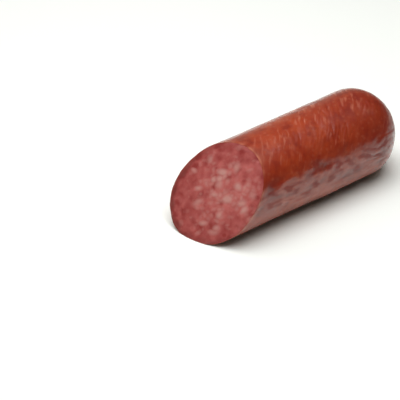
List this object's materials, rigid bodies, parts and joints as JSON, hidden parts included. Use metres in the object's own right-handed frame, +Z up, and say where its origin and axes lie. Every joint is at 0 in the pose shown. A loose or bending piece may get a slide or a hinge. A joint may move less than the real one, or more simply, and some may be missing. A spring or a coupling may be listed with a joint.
{
  "type": "cured sausage piece",
  "caption": "Piece of cured sausage in a smoked, wrinkled casing, cut on the bias to show the marbled meat, with its far end rounded and gathered.",
  "frame": {"origin": "middle of the footprint's bounding box, on the surface that the sausage lies on", "axes": "+Z up, +X along the sausage towards its closed, gathered end, so that the bias cut faces -X and up, +Y towards the back"},
  "size_m": [0.1438, 0.05, 0.049],
  "materials": {
    "smoked_casing": "smoked edible casing, wrinkled, waxy gloss",
    "cured_meat": "cut face of cured minced meat with pale fat, moist satin"
  },
  "bodies": {
    "root": {"casing": "smoked_casing", "filling": "cured_meat"}
  },
  "joints": []
}
